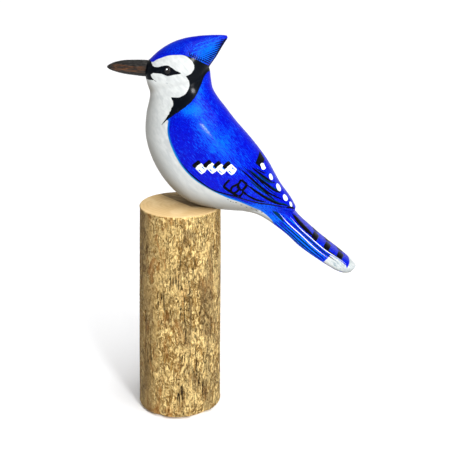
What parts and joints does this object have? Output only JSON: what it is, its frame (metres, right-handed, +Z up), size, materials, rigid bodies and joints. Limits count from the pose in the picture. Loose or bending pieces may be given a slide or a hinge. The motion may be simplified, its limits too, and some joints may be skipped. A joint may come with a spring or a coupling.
{
  "type": "painted wooden blue jay figure on a log post",
  "caption": "Hand-carved, painted wooden blue jay lying with its belly on an upright length of peeled log.",
  "frame": {"origin": "centre of the log's flat underside", "axes": "+Z up along the log, -X towards the bill, +X towards the tail, Y across the bird, whose middle plane is Y = 0"},
  "size_m": [0.1669, 0.0591, 0.2639],
  "materials": {
    "log": "peeled log, dry and fibrous on the side, sawn smooth on top",
    "white_paint": "carved wood in white acrylic paint under a satin varnish",
    "blue_paint": "carved wood in streaky blue acrylic paint under a gloss varnish",
    "bill_paint": "carved wood in charcoal paint with brown streaks, varnished",
    "eye_gloss": "domed, glossy black"
  },
  "bodies": {
    "root": {"post": "log", "torso": "white_paint", "neck": "white_paint", "head": "white_paint", "crest": "blue_paint", "tail": "blue_paint", "wing_left": "blue_paint", "wing_right": "blue_paint", "bill_upper": "bill_paint", "bill_lower": "bill_paint", "eye_left": "eye_gloss", "eye_right": "eye_gloss"}
  },
  "joints": []
}
